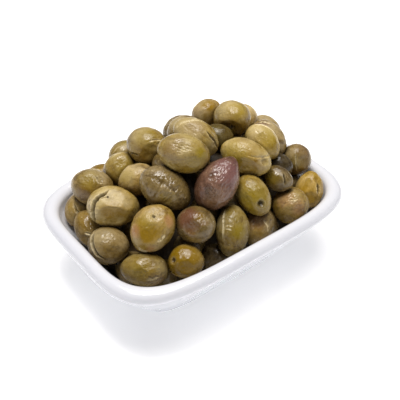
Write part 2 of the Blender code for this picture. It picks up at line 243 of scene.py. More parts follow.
def wall_gap(places):
    """Distance to the inner wall, positive inside, and the wall's outward normal there."""
    def level(q):
        inset = inner_inset(q[:, 2])
        a, b = np.maximum(LENGTH / 2 - inset, 4.0), np.maximum(WIDTH / 2 - inset, 4.0)
        return squarish(q[:, 0], q[:, 1], a, b)

    step = 0.5 * np.eye(3)
    slope = np.stack([level(places + step[k]) - level(places - step[k]) for k in range(3)], 1)
    size = lengths(slope) + 1e-9
    return (1 - level(places)) / size, slope / size[:, None]


def frame_of(long_axis):
    """Three unit axes of an olive, its long one first."""
    side = np.cross(long_axis, [0.0, 0.0, 1.0])
    if np.linalg.norm(side) < 0.05:
        side = np.cross(long_axis, [1.0, 0.0, 0.0])
    side = unit(side)
    return np.stack([long_axis, side, np.cross(long_axis, side)])


def seen_frame(turn, lean, line):
    """Axes of an olive from its turn in the picture and its lean towards the eye."""
    up = unit(UP - (UP @ line) * line)
    across = np.cross(line, up)
    t, k = math.radians(turn), math.radians(lean)
    return frame_of(math.cos(k) * (math.cos(t) * across + math.sin(t) * up) - math.sin(k) * line)


def spread(axes, half):
    """Shape matrices of ellipsoids: their half lengths squared, turned into place."""
    return np.einsum("nki,nk,nkj->nij", axes, half ** 2, axes)


def reach(apart, one, two):
    """How near pairs of ellipsoids are: 1 where they just touch, less where they overlap."""
    best = np.zeros(len(apart))
    for share in SHARES:
        both = (1 - share) * one + share * two
        w = np.linalg.solve(both, apart[:, :, None])[:, :, 0]
        best = np.maximum(best, share * (1 - share) * np.einsum("ni,ni->n", apart, w))
    return np.sqrt(best)


def sight(column, row):
    """Direction of the sight line through a point of the photograph."""
    return unit((column - LOOK_MIDDLE) / LOOK_SCALE * RIGHT
                - (row - LOOK_MIDDLE) / LOOK_SCALE * UP - BACK)


def first_hit(line):
    """Where a sight line first meets the mound, or passes nearest to it."""
    p = EYE + line * SIGHT_POINTS[:, None]
    gap = p[:, 2] - mound(p[:, 0], p[:, 1])
    level = squarish(p[:, 0], p[:, 1], LENGTH / 2 - RIM, WIDTH / 2 - RIM)
    gap = np.where(level < 0.93, gap, 999.0)
    hits = np.nonzero(gap <= 0)[0]
    return p[hits[0] if len(hits) else int(np.argmin(gap))]


def open_share(place, half_width, places, axes, half):
    """Share of an olive's outline that the seen olives leave open from the eye."""
    line = unit(place - EYE)
    across = unit(np.cross(line, [0.0, 0.0, 1.0]))
    up = np.cross(across, line)
    t = np.arange(12) / 12 * 2 * math.pi
    turn = np.cos(t)[:, None] * across + np.sin(t)[:, None] * up
    ring = place + half_width * np.concatenate([0.5 * turn, 0.95 * turn])
    q = np.einsum("pni,nki->pnk", ring[:, None, :] - places[None], axes) / half[None]
    v = np.einsum("i,nki->nk", -line, axes) / half
    b = np.einsum("pnk,nk->pn", q, v)
    under = b * b - (v ** 2).sum(1) * ((q ** 2).sum(2) - 1)
    hidden = (under > 0) & ((-b + np.sqrt(np.maximum(under, 0))) > 0)
    return 1 - hidden.any(1).mean()


def ball_points(count):
    """Unit directions spread evenly."""
    k = np.arange(count) + 0.5
    z = 1 - 2 * k / count
    turn = k * math.pi * (3 - math.sqrt(5))
    r = np.sqrt(1 - z * z)
    return np.stack([r * np.cos(turn), r * np.sin(turn), z], 1)


def settle(place, axes, shape, half, start, lines, layer, rounds):
    """Push olives apart, the seen ones mostly along their sight lines, and keep all in the dish."""
    count, first = len(place), len(lines)
    skin = np.einsum("pk,nk,nki->npi", ball_points(70), half, axes)
    seen = np.arange(count) < first
    for _ in range(rounds):
        i, j = np.triu_indices(count, 1)
        apart = place[j] - place[i]
        far = lengths(apart)
        near = far < half[i, 0] + half[j, 0]
        i, j, apart, far = i[near], j[near], apart[near], far[near]
        over = far * (1 / np.maximum(reach(apart, shape[i], shape[j]), 0.3) - 1) - PRESS
        share = np.where(seen[i] == seen[j], 0.5, np.where(seen[i], SEEN_YIELDS, 1 - SEEN_YIELDS))
        push = apart / far[:, None] * np.maximum(over, 0)[:, None]
        move = np.zeros_like(place)
        np.add.at(move, i, -PUSH * push * share[:, None])
        np.add.at(move, j, PUSH * push * (1 - share)[:, None])
        along = np.einsum("ni,ni->n", move[:first], lines)
        aside = move[:first] - along[:, None] * lines
        along = np.where(along < 0, 0.45 * along, along)
        move[:first] = along[:, None] * lines + 0.5 * aside
        place = place + move
        back = start[:first] - place[:first]
        along = np.einsum("ni,ni->n", back, lines)
        aside = back - along[:, None] * lines
        off = lengths(aside)
        place[:first] += 0.8 * aside * np.maximum(1 - ASIDE / np.maximum(off, 1e-6), 0)[:, None]
        place[:first] += 0.012 * np.clip(along, 0, None)[:, None] * lines
        for kind, (drop, *_) in enumerate(HIDDEN, 1):
            q = np.nonzero(layer == kind)[0]
            lift = mound(place[q, 0], place[q, 1], drop) - place[q, 2]
            place[q, 2] += np.clip(0.04 * lift, -0.2, 0.08)
        gap, normal = wall_gap((place[:, None, :] + skin).reshape(-1, 3))
        gap, normal = gap.reshape(count, -1), normal.reshape(count, -1, 3)
        worst = gap.argmin(axis=1)
        rows = np.arange(count)
        place = place - normal[rows, worst] * np.maximum(OLIVE_CLEAR - gap[rows, worst], 0)[:, None]
        place[:, 2] = np.maximum(place[:, 2], FLOOR + OLIVE_CLEAR + np.sqrt(shape[:, 2, 2]))
    return place


def lay_olives():
    """Middles, axes, half sizes and layer of every olive."""
    draw = np.random.default_rng(HIDDEN_SEED)
    place, lines, axes, half = [], [], [], []
    for column, row, length, width, turn, lean, behind in (olive["at"] for olive in SEEN):
        line = sight(column, row)
        place.append(first_hit(line) + line * behind)
        lines.append(line)
        axes.append(seen_frame(turn, lean, line))
        half.append([length / 2, width / 2, width / 2])
    place, lines, axes, half = np.array(place), np.array(lines), np.array(axes), np.array(half)
    shape = spread(axes, half)
    start = place.copy()
    first = len(SEEN)
    layer = np.zeros(first, int)
    place = settle(place, axes, shape, half, start, lines, layer, SEEN_ROUNDS)
    for kind, (drop, least, most, fit, most_open, tries) in enumerate(HIDDEN, 1):
        for _ in range(tries):
            x = draw.uniform(-1, 1) * (LENGTH / 2 - RIM - 6 - 0.5 * drop)
            y = draw.uniform(-1, 1) * (WIDTH / 2 - RIM - 6 - 0.5 * drop)
            yaw = draw.uniform(0, math.pi)
            tip = draw.uniform(-0.3, 0.3)
            length = draw.uniform(least, most)
            width = length * draw.uniform(*WIDTH_SHARES)
            p = np.array([x, y, float(mound(x, y, drop))])
            if p[2] < 12:
                continue
            fall_x = float(mound(x + 1, y, drop) - mound(x - 1, y, drop)) / 2
            fall_y = float(mound(x, y + 1, drop) - mound(x, y - 1, drop)) / 2
            u = np.array([math.cos(yaw), math.sin(yaw), 0.0])
            u[2] = np.clip(fall_x * u[0] + fall_y * u[1], -1.2, 1.2) + tip
            own = frame_of(unit(u))
            size = np.array([length / 2, width / 2, width / 2])
            own_shape = spread(own[None], size[None])
            apart = place - p
            near = lengths(apart) < 30
            others = shape[near]
            if near.any() and reach(apart[near], np.repeat(own_shape, len(others), 0), others).min() < fit:
                continue
            gap, normal = wall_gap(p[None])
            if gap[0] < 0.5 * math.sqrt(normal[0] @ own_shape[0] @ normal[0]):
                continue
            if open_share(p, width / 2, place[:first], axes[:first], half[:first]) > most_open:
                continue
            place = np.vstack([place, p])
            start = np.vstack([start, p])
            axes = np.concatenate([axes, own[None]])
            half = np.vstack([half, size])
            shape = np.concatenate([shape, own_shape])
            layer = np.append(layer, kind)
        place = settle(place, axes, shape, half, start, lines, layer, LAYER_ROUNDS)
    return place, axes, half, layer


# Every olive that the photograph shows. At: column and row of its middle, length and width in millimetres,
# turn of the long axis in the picture, its lean towards the eye, and how many millimetres it lies behind
# its neighbours. Then its skin, how much lighter or darker it is than its kind, and its marks by column and
# row. Flats: middle, and share of the half width that they take off. Cuts: line, width, depth and how far
# one side stands over the other in millimetres, and how pale the lips are. Dents: middle, radius and depth.
# Scars of the stem: middle, radius, and how dark the middle is, partly the scar's own dark and partly
# painted shade in its hole. Patches of redder, amber or yellow-green skin, pale patches that are partly
# paler skin and partly painted sheen on the lit tops and painted reflection at the rims, and nets of fine
# wrinkles: middle, radius and strength.
# Tips: how far the ends are drawn out. Wrinkles run along an olive, or across it where it says so. Last, one
# hidden olive's tone, darkened as painted shade.
OLIVES = {
    "crown_left": dict(at=(207, 113.6, 17.6, 14.8, 40, 0, 10), skin="khaki", tone=0.2,
        blush=[(196, 112, 5, 0.4)], amber=[(210, 106, 4, 0.9)], pale=[(196, 110, 7, 0.6)]),
    "crown": dict(at=(231.2, 118.8, 22.2, 19.7, 0, 60, 4), skin="green", tone=0.15, flats=[(229, 132, 0.21),
        (217, 112, 0.04)], cuts=[([(241.5, 101.6), (247.4, 105.8), (250.2, 112), (250.2, 118),
        (247.8, 124.5)], 0.28, 0.3, -0.1, 1), ([(223.5, 132), (229, 131.4),
        (234.5, 129.2)], 0.8, 0.9, 0.2, 0)], dents=[(230.6, 129.6, 2.4, 0.9)],
        scars=[(230.6, 130.4, 0.9, 0.75)], blush=[(222, 128, 5, 0.35)], amber=[(234, 111, 6, 0.45)],
        lime=[(238, 110, 7, 0.6)], pale=[(230, 107, 9, 0.6)], net=[(228, 112, 8, 0.5)]),
    "crown_back": dict(at=(243.6, 119, 17.6, 16, -40, 30, 16), skin="khaki", tone=0.45,
        pale=[(252, 108, 8, 0.6)]),
    "far_dark": dict(at=(264.5, 129.6, 19, 15.8, -30, 10, 13), skin="khaki", tone=-0.04,
        pale=[(262, 118, 9, 0.6)]),
    "shoulder_back": dict(at=(269, 139.2, 22.5, 17.2, -45, 0, 6), skin="khaki", tone=0.03,
        cuts=[([(258, 123.8), (265, 123), (273, 125.5)], 0.3, 0.3, -0.15, 0.9)], blush=[(262, 126, 6, 0.7)],
        pale=[(270, 127, 8, 0.6)]),
    "shoulder": dict(at=(262, 142.8, 21, 15.6, -48, 0, 0), skin="yellow", tone=0.2,
        flats=[(262, 139, 0.07)], cuts=[([(252, 125.6), (262, 126), (271, 130.6), (277.4, 137.6),
        (280, 144.6)], 0.28, 0.3, -0.15, 1)], amber=[(262, 141, 7, 0.55)], lime=[(266, 138, 8, 0.6)],
        pale=[(260, 131, 9, 0.8)], net=[(262, 136, 7, 0.6)]),
    "big_right": dict(at=(246.2, 158.2, 26.2, 18.6, -24, 0, 0), skin="yellow", tone=0.06, tips=(0.03, 0.05),
        flats=[(246, 168, 0.13), (264, 160, 0.05)], cuts=[([(248, 156.4), (256, 158.2), (264, 158.4),
        (270, 156.4)], 0.8, 0.4, 0.3, 0.1)], dents=[(265.4, 162, 1.9, 0.45)],
        scars=[(265.4, 162, 1.8, 0.35)], blush=[(258, 166, 4.5, 0.4), (244, 140, 4, 0.3)],
        amber=[(244, 161, 9, 0.75), (256, 161, 2, 1)], lime=[(232, 155, 8, 0.7)], pale=[(243, 143, 10, 0.4),
        (262, 158, 6, 0.4)], net=[(240, 149, 9, 0.7)]),
    "right_top": dict(at=(295, 158.4, 18.3, 17, 80, 50, 0), skin="khaki", tone=-0.16,
        flats=[(303, 162, 0.1)], cuts=[([(295.4, 152), (295.2, 158), (295.6, 165),
        (296.6, 172)], 0.3, 0.6, 0.3, 0.8)], blush=[(305, 150, 6, 0.5)], amber=[(303, 165, 5, 0.3)],
        lime=[(298, 160, 6, 0.4)], pale=[(286, 153, 5, 0.35)]),
    "right_shade": dict(at=(278.4, 179, 16.4, 13.2, -25, 10, 4), skin="dark", tone=-0.12,
        cuts=[([(283.6, 173), (285, 178), (285.4, 186)], 0.7, 1.1, 0.4, 0.3)], amber=[(272, 183, 5, 0.4)],
        lime=[(272, 178, 5, 0.5)]),
    "right_end": dict(at=(312.4, 191, 20.6, 15.6, 78, 10, 6), skin="amber", tone=0.46,
        flats=[(309, 186, 0.1), (313, 199, 0.08)], cuts=[([(320.8, 184.5), (322, 189),
        (321.8, 196)], 1, 1.5, 0.3, 0.4)], amber=[(309, 195, 8, 0.8)], net=[(312, 190, 8, 0.5)]),
    "right_round": dict(at=(291.4, 204.2, 20.4, 19, 40, 45, 0), skin="amber", tone=0.02,
        flats=[(297, 211, 0.09)], cuts=[([(288.5, 199.6), (292.5, 198.8),
        (297.5, 199.8)], 0.5, 0.35, 0.25, 0.7)], dents=[(293, 200, 2.2, 0.35)], blush=[(285, 197, 6, 0.5),
        (299, 207, 5, 0.45)], amber=[(294, 211, 6, 0.35)], pale=[(290, 196, 8, 0.4)],
        net=[(292, 200, 8, 0.8)]),
    "stemmed": dict(at=(253.2, 194.2, 22, 16, -57, 10, 0), skin="yellow", tone=-0.18,
        flats=[(254, 184, 0.03), (262, 200, 0.04), (246, 200, 0.07)], dents=[(260.7, 202.8, 1.5, 1.2)],
        scars=[(260.7, 202.8, 1.7, 0.9)], amber=[(257, 206, 7, 0.7)], lime=[(250, 197, 9, 0.9)],
        net=[(251, 189, 7, 0.6), (262, 205, 5, 0.6)]),
    "low_brown": dict(at=(258, 226, 19.2, 15.6, 60, 10, 4), skin="dark", tone=0.65, flats=[(258, 222, 0.1)],
        cuts=[([(263, 219), (267.6, 225), (268, 232)], 0.3, 0.3, 0.2, 0.7)], blush=[(255, 218, 6, 0.6)],
        amber=[(258, 232, 6, 0.5)], net=[(256, 220, 6, 0.7)]),
    "slit": dict(at=(232.2, 232.2, 24.8, 16.6, 87, 0, 0), skin="green", tone=-0.26, tips=(0.04, 0.02),
        flats=[(238, 222, 0.04), (229, 243, 0.06)], cuts=[([(226.4, 210), (224.2, 216), (223.6, 227),
        (222.6, 240)], 0.32, 0.35, 0.5, 1), ([(225.4, 226.8), (228.6, 226),
        (232.4, 227.4)], 0.35, 0.3, 0.15, 0.9), ([(225, 229.6), (228.4, 229.4),
        (231.6, 231)], 0.35, 0.3, 0.15, 0.9)], blush=[(216, 243, 6, 0.5)], amber=[(231, 246, 6, 0.4)],
        lime=[(239, 232, 5, 1), (233, 218, 5, 0.6)], pale=[(222, 222, 5, 0.4)], net=[(233, 222, 6, 0.4)]),
    "blush": dict(at=(195.7, 225.3, 21.3, 18.2, 0, 60, 0), skin="dark", tone=-0.02, flats=[(192, 227, 0.1),
        (203, 219, 0.06)], dents=[(190, 231, 3, 0.4)], blush=[(187, 216, 8, 1), (190, 227, 5, 0.7)],
        amber=[(199, 216, 3, 0.8), (194, 238, 5, 0.3)], net=[(200, 218, 7, 0.7)]),
    "purple": dict(at=(216.6, 185.2, 27.1, 19.8, 58, 0, 0), skin="purple", tone=0.05, tips=(0.16, 0.05),
        flats=[(214, 176, 0.05), (210, 199, 0.12), (226, 190, 0.06)], dents=[(206, 196, 3.5, 0.4)],
        blush=[(229, 172, 9, 1), (222, 164, 6, 0.8)], amber=[(212, 200, 6, 0.2)], net=[(217, 179, 12, 1),
        (222, 192, 7, 0.7)]),
    "centre_top": dict(at=(185, 152.8, 25, 19, -14, 0, -1), skin="yellow", tone=-0.12, tips=(0.02, 0.06),
        flats=[(182, 147, 0.08), (194, 162, 0.06)], cuts=[([(178, 146), (183, 149),
        (190, 150)], 0.5, 0.25, 0.15, 0.3)], blush=[(172, 150, 6, 0.55), (180, 140, 4, 0.4)],
        amber=[(190, 165, 8, 0.4)], lime=[(203, 154, 4, 1), (196, 163, 5, 0.5)], pale=[(178, 145, 9, 0.5)],
        net=[(184, 150, 9, 0.8)]),
    "flap": dict(at=(196.2, 138, 24.6, 17.6, -36, 0, 4), skin="green", tone=0.08, flats=[(190, 131, 0.07)],
        cuts=[([(206, 131.5), (210, 136.8), (214.4, 142), (218, 149)], 0.8, 1.6, 0.5, 0.6), ([(209, 130.5),
        (214, 136), (219.5, 144), (221, 149)], 0.5, 0.9, 0.3, 0.9), ([(173, 132), (182, 123.5),
        (194, 120.4), (205, 122.6)], 0.28, 0.25, -0.1, 0.9)], blush=[(197, 127, 5, 0.45)],
        amber=[(187, 130, 5, 0.3)], pale=[(188, 128, 10, 0.8)], net=[(197, 128, 8, 0.6)]),
    "far_left": dict(at=(184.6, 131, 18.8, 15.4, 20, 10, 10), skin="khaki", tone=-0.04,
        pale=[(174, 121, 9, 0.8)]),
    # Its much darker tone is painted shade: it stands for the dark gap behind the crown
    "tucked": dict(at=(217, 137, 17.2, 15, 0, 20, 9), skin="yellow", tone=-0.78, lime=[(212, 133, 6, 1)]),
    "left_top": dict(at=(145.4, 145.6, 21.7, 19.4, -10, 40, 0), skin="green", tone=-0.04, across=True,
        flats=[(150, 154, 0.12)], cuts=[([(148, 142.6), (154, 140.6), (161, 141.4)], 0.5, 0.4, 0.3, 0.8),
        ([(129, 153.2), (134, 153.4), (140, 156.5)], 0.5, 0.8, -0.2, 0.1)], dents=[(156, 146, 3, 0.4)],
        amber=[(144, 152, 8, 0.55)], lime=[(146, 136, 7, 0.5)], pale=[(138, 136, 8, 0.5)],
        net=[(133, 157, 6, 0.8), (155, 144, 6, 0.7)]),
    "left_back": dict(at=(124.6, 155.4, 18.2, 15.6, 40, 10, 8), skin="green", tone=-0.16,
        cuts=[([(113.5, 154), (117, 148.5), (123, 145.6)], 0.3, 0.25, 0.2, 0.7)], lime=[(128, 142, 6, 0.6)],
        pale=[(124, 144, 7, 0.4)]),
    "left_mid": dict(at=(118.8, 169.4, 19.3, 15.8, 55, 10, 5), skin="yellow", tone=-0.1,
        flats=[(120, 163, 0.08)], cuts=[([(111, 158.4), (115, 154.6), (121.5, 152.8),
        (127, 153)], 0.5, 0.4, 0.4, 0.9)], amber=[(121, 163, 6, 0.6)], lime=[(124, 166, 7, 0.6)],
        pale=[(118, 158, 7, 0.4)], net=[(117, 160, 6, 0.5)]),
    "left_far": dict(at=(101, 178.4, 18.4, 15.7, 20, 10, 13), skin="khaki", tone=0,
        amber=[(100, 170, 6, 0.5)]),
    "left_torn": dict(at=(92.6, 188, 22, 18.7, -15, 10, 2), skin="khaki", tone=-0.13,
        flats=[(86, 183, 0.07), (100, 190, 0.08)], cuts=[([(94.6, 176.5), (97.6, 179), (98.8, 182.5),
        (103.4, 184)], 0.7, 0.7, 0.5, 1), ([(90, 170.6), (97, 169.6), (105, 171.8)], 0.5, 0.3, -0.3, 0.9)],
        dents=[(99.5, 181, 2.2, 0.8)], blush=[(82, 195, 5, 0.5)], amber=[(91, 187, 6, 0.55)],
        lime=[(90, 180, 7, 0.6)], pale=[(97, 173, 8, 0.5)], net=[(97, 178, 7, 0.8)]),
    "mid_left": dict(at=(136.6, 180.6, 19.7, 16.7, 25, 10, 7), skin="khaki", tone=0.26,
        cuts=[([(122.5, 172), (126, 167.4), (131.5, 164.6)], 0.5, 0.3, 0.3, 0.8)],
        amber=[(139, 181, 4.5, 0.6)], lime=[(124, 178, 6, 0.5)], pale=[(128, 172, 8, 0.6)],
        net=[(136, 176, 7, 0.5)]),
    "big_left": dict(at=(165.8, 187.6, 26.8, 20, -34, 0, -1), skin="dark", tone=0.14, across=True,
        flats=[(161, 180, 0.05), (170, 199, 0.06)], lime=[(168, 200, 6, 0.5)], net=[(164, 182, 12, 1),
        (175, 193, 10, 1)]),
    "split": dict(at=(112.2, 206.6, 25.6, 20.6, -3, 0, 0), skin="green", tone=0.2, flats=[(114, 198, 0.12),
        (111, 218, 0.19), (126, 202, 0.06)], cuts=[([(109, 189.5), (104, 194.5), (97.5, 198), (93.4, 203),
        (92.2, 209.5), (92.8, 216), (94.5, 222.5)], 1, 2.6, 0.9, 0.6), ([(107, 196.7), (103, 197.8),
        (99.5, 200)], 0.4, 0.3, 0.1, 0), ([(96, 223.5), (102, 226.5), (108, 227.5)], 0.5, 0.4, 0.2, 0.9)],
        scars=[(107, 196.7, 0.55, 0.8)], amber=[(108, 215, 5.5, 1), (118, 214, 4.5, 0.9)],
        pale=[(112, 200, 10, 0.75), (96, 212, 5, 0.6)], net=[(116, 204, 6, 0.4), (110, 224, 6, 0.5)]),
    "wall_left": dict(at=(76.4, 211.4, 18.6, 14.6, 70, 10, 8), skin="khaki", tone=0.34, cuts=[([(71.2, 205),
        (72.2, 209), (74, 213), (77.5, 217.5)], 0.7, 1, 0.45, 0.9)], dents=[(79, 211, 3.5, 0.8)],
        amber=[(70, 211, 5, 0.7)], pale=[(72, 212, 6, 0.5)]),
    "wall_front": dict(at=(91.4, 227.6, 20.4, 16.4, -55, 10, 1), skin="khaki", tone=0.04,
        flats=[(92, 222, 0.08), (86, 238, 0.06)], cuts=[([(84.5, 231.8), (88.5, 232.4),
        (93.5, 234.6)], 0.6, 0.7, 0.4, 1)], amber=[(88, 223, 7, 0.6)], net=[(90, 230, 7, 0.7)]),
    "arc_crack": dict(at=(106.2, 247.4, 21, 18.6, -10, 30, 3), skin="khaki", tone=-0.18,
        flats=[(112, 254, 0.07)], cuts=[([(93.5, 232.5), (91.2, 238), (90.4, 244), (92, 250.5), (96.5, 257),
        (104.5, 262)], 0.85, 1.9, 0.6, 0.5)], amber=[(106, 256, 6, 0.45), (109, 247, 5, 0.3)],
        pale=[(100, 236, 7, 0.5)], net=[(106, 240, 7, 0.8)]),
    "front_big": dict(at=(152.6, 229.6, 24.2, 20.2, 55, 0, 0), skin="amber", flats=[(151, 235, 0.1),
        (157, 214, 0.07)], cuts=[([(157, 243), (161.5, 240.2), (165, 234.6)], 0.6, 0.3, 0.25, 0.8),
        ([(137, 247), (142, 251), (149, 252.4)], 0.5, 0.3, 0.3, 0.8)], dents=[(154.2, 216.9, 1.3, 0.35)],
        scars=[(154.2, 216.9, 0.8, 0.8)], blush=[(134, 232, 4, 0.6), (169, 222, 3.5, 0.6),
        (151, 250, 3, 0.5)], amber=[(149, 237, 6.5, 1), (158, 226, 5, 0.35)], lime=[(146, 222, 5, 0.5)],
        pale=[(153, 217, 6, 0.5), (134, 241, 4, 0.6), (160, 247, 5, 0.5)], net=[(153, 220, 8, 1),
        (160, 240, 5, 0.7)]),
    "front_low": dict(at=(144.8, 268.4, 22.6, 16.4, -5, 0, 0), skin="green", tone=-0.2,
        flats=[(150, 264, 0.065), (140, 275, 0.07)], cuts=[([(146, 279.5), (152, 277.6),
        (160, 275.2)], 0.7, 0.3, 0.2, 0.4)], blush=[(158, 281, 6.5, 0.7)], amber=[(146, 267, 7, 0.65)],
        lime=[(140, 268, 6, 0.5)], pale=[(163, 268, 6, 0.4)], net=[(152, 274, 10, 0.8)]),
    "front_amber": dict(at=(185.6, 261.6, 17.6, 16.2, 10, 30, 0), skin="amber", tone=-0.14,
        flats=[(184, 254, 0.06), (186, 268, 0.1)], dents=[(173, 260.8, 1.5, 0.9)],
        scars=[(173, 260.8, 1.2, 0.8)], amber=[(182, 264, 13, 1)]),
    # The darker tones of these two deep olives are painted shade of the gaps they lie in
    "low_dark": dict(at=(213, 257, 16.7, 14, 20, 20, 5), skin="dark", tone=-0.36),
    "deep_right": dict(at=(276, 165.6, 17.5, 15, 0, 20, 9), skin="dark", tone=-0.75),
    # Darker tone: painted shade, so that its lit rim in the gap shows less
    "hidden_036": dict(tone=-0.35),
}
SEEN = [olive for olive in OLIVES.values() if "at" in olive]
PATCHES = ("blush", "amber", "lime", "pale", "net")
FIRST_PATCH_SEED = 61
TIPS = (0.03, 0.02)
HASH_AXES = np.array([73856093, 19349663, 83492791])
HASH_SEED = 2654435761
HASH_ROUNDS = ((15, 2246822519), (13, 3266489917))


def value_noise(p, seed):
    """Smooth noise from -1 to 1 at many points, one lump to a unit."""
    cell = np.floor(p).astype(np.int64)
    f = p - cell
    f = f * f * (3 - 2 * f)
    total = np.zeros(len(p))
    for corner in np.ndindex(2, 2, 2):
        a, b, c = ((cell + corner) * HASH_AXES).T
        k = (a ^ b ^ c ^ (seed * HASH_SEED)) & 0xFFFFFFFF
        for shift, factor in HASH_ROUNDS:
            k = ((k ^ (k >> shift)) * factor) & 0xFFFFFFFF
        x, y, z = np.where(corner, f, 1 - f).T
        total += x * y * z * ((k ^ (k >> 16)) / 0xFFFFFFFF * 2 - 1)
    return total


def soft_noise(p, seed, octaves=3):
    total, size, share = np.zeros(len(p)), 1.0, 0.0
    for k in range(octaves):
        total += value_noise(p / size, seed + 17 * k) * size
        share += size
        size *= 0.5
    return total / share


def ball_mesh(steps):
    """A ball of even triangles: each side of an icosahedron cut into steps."""
    g = (1 + math.sqrt(5)) / 2
    v = np.array([(-1, g, 0), (1, g, 0), (-1, -g, 0), (1, -g, 0), (0, -1, g), (0, 1, g),
                  (0, -1, -g), (0, 1, -g), (g, 0, -1), (g, 0, 1), (-g, 0, -1), (-g, 0, 1)], float)
    f = [(0, 11, 5), (0, 5, 1), (0, 1, 7), (0, 7, 10), (0, 10, 11), (1, 5, 9), (5, 11, 4), (11, 10, 2),
         (10, 7, 6), (7, 1, 8), (3, 9, 4), (3, 4, 2), (3, 2, 6), (3, 6, 8), (3, 8, 9), (4, 9, 5),
         (2, 4, 11), (6, 2, 10), (8, 6, 7), (9, 8, 1)]
    grid = [(i, j) for i in range(steps + 1) for j in range(steps + 1 - i)]
    at = {place: k for k, place in enumerate(grid)}
    small = []
    for i, j in grid:
        if i + j < steps:
            small.append((at[i, j], at[i + 1, j], at[i, j + 1]))
        if i + j < steps - 1:
            small.append((at[i + 1, j], at[i + 1, j + 1], at[i, j + 1]))
    i, j = np.array(grid).T[:, :, None]
    points = [v[a] + (v[b] - v[a]) * i / steps + (v[c] - v[a]) * j / steps for a, b, c in f]
    points = np.concatenate(points)
    points /= lengths(points)[:, None]
    faces = np.concatenate([np.array(small) + k * len(grid) for k in range(len(f))])
    _, first, same = np.unique(np.round(points * 1e5).astype(np.int64), axis=0, return_index=True,
                               return_inverse=True)
    return points[first], same.reshape(-1)[faces]


def refine(points, faces, wanted):
    """Cuts in two the edges whose middles are wanted, and splits their triangles to match."""
    ends = np.sort(np.concatenate([faces[:, [0, 1]], faces[:, [1, 2]], faces[:, [2, 0]]]), axis=1)
    edges, index = np.unique(ends, axis=0, return_inverse=True)
    middle = points[edges[:, 0]] + points[edges[:, 1]]
    middle /= lengths(middle)[:, None]
    cut = wanted(middle)
    new = np.full(len(edges), -1)
    new[cut] = len(points) + np.arange(cut.sum())
    points = np.vstack([points, middle[cut]])
    index = index.reshape(3, -1).T
    m = new[index]
    out = []
    for (a, b, c), (p, q, r) in zip(faces.tolist(), m.tolist()):
        count = (p >= 0) + (q >= 0) + (r >= 0)
        if count == 0:
            out.append((a, b, c))
            continue
        while not (p >= 0 and (count != 2 or r < 0)):
            a, b, c, p, q, r = b, c, a, q, r, p
        if count == 1:
            out += [(a, p, c), (p, b, c)]
        elif count == 2:
            out += [(p, b, q), (a, p, q), (a, q, c)]
        else:
            out += [(a, p, r), (p, b, q), (r, q, c), (p, q, r)]
    return points, np.array(out)


def in_photo(point):
    """Column and row at which a point shows in the photograph."""
    q = point - EYE
    far = -(q @ BACK)
    return np.array([LOOK_MIDDLE + LOOK_SCALE * (q @ RIGHT) / far,
                     LOOK_MIDDLE - LOOK_SCALE * (q @ UP) / far])


class Olive:
    """One olive: its place, its form as a function of direction, and the marks on its skin."""

    def __init__(self, number, place, axes, half):
        self.number, self.place, self.axes, self.half = number, place, axes, half
        self.draw = np.random.default_rng(FIRST_OLIVE_SEED + number)
        self.marks = OLIVES.get("hidden_%03d" % number, {})
        if number < len(SEEN):
            self.marks = SEEN[number]
            self.shift = in_photo(place) - np.array(self.marks["at"][:2])
        self.egg = self.draw.uniform(-0.07, 0.07)
        self.bend = self.draw.uniform(-0.05, 0.05, 2)
        self.far_tip, self.near_tip = self.marks.get("tips", TIPS)
        self.flats, self.cuts, self.dents, self.scars = [], [], [], []
        self.patches = {kind: [] for kind in PATCHES}

    def towards(self, column, row):
        """Unit direction, in the olive's own axes, of what shows at a point of the photograph."""
        line = sight(column + self.shift[0], row + self.shift[1])
        start = (self.axes @ (EYE - self.place)) / self.half
        way = (self.axes @ line) / self.half
        size = way @ way
        middle = -(start @ way) / size
        under = middle * middle - (start @ start - 1) / size
        return unit(start + way * (middle - math.sqrt(max(under, 0.0))))

    def skin(self, u):
        """Points of the skin, in the olive's own axes, for unit directions."""
        u = u.copy()
        for away, depth in self.flats:
            over = u @ away - (1 - depth)
            u = u - (FLAT_SOFTNESS * np.logaddexp(0.0, over / FLAT_SOFTNESS))[:, None] * away
        x = u[:, 0]
        wide = 1 + self.egg * x
        p = np.stack([x, u[:, 1] * wide, u[:, 2] * wide], 1)
        p[:, 1] += self.bend[0] * (x * x - 0.4)
        p[:, 2] += self.bend[1] * (x * x - 0.4)
        tip = np.clip((np.abs(x) - 0.72) / 0.28, 0, 1) ** 2
        p[:, 0] += np.where(x > 0, self.far_tip, -self.near_tip) * tip
        p *= self.half
        lump = soft_noise(p * LUMP_PER_MM + self.number * LUMP_SHIFT, LUMP_SEED)
        away = u / lengths(u)[:, None]
        return p + away * (lump * LUMP_HEIGHT)[:, None]

    def spot(self, column, row):
        return self.skin(self.towards(column, row)[None])[0]

    def path(self, corners):
        """A smooth line on the skin through points of the photograph."""
        corners = np.array(corners, float)
        run = np.concatenate([[0.0], np.cumsum(lengths(np.diff(corners, axis=0)))])
        t = np.linspace(0, run[-1], 4 * len(corners))
        line = np.stack([np.interp(t, run, corners[:, k]) for k in range(2)], 1)
        line[1:-1] = 0.25 * line[:-2] + 0.5 * line[1:-1] + 0.25 * line[2:]
        return np.array([self.spot(c, r) for c, r in line])


def near_line(points, line):
    """How far points are from a line of points, on which side, how far along it, and its length."""
    best = np.full(len(points), 1e9)
    side = np.ones(len(points))
    run = np.zeros(len(points))
    gone = 0.0
    for a, b in zip(line[:-1], line[1:]):
        step = b - a
        size = np.linalg.norm(step) + 1e-9
        t = np.clip((points - a) @ step / size ** 2, 0, 1)
        off = points - (a + t[:, None] * step)
        far = lengths(off)
        turn = np.cross(step / size, unit((a + b) / 2))
        closer = far < best
        best = np.where(closer, far, best)
        side = np.where(closer, np.sign(off @ turn), side)
        run = np.where(closer, gone + t * size, run)
        gone += size
    return best, side, run, gone


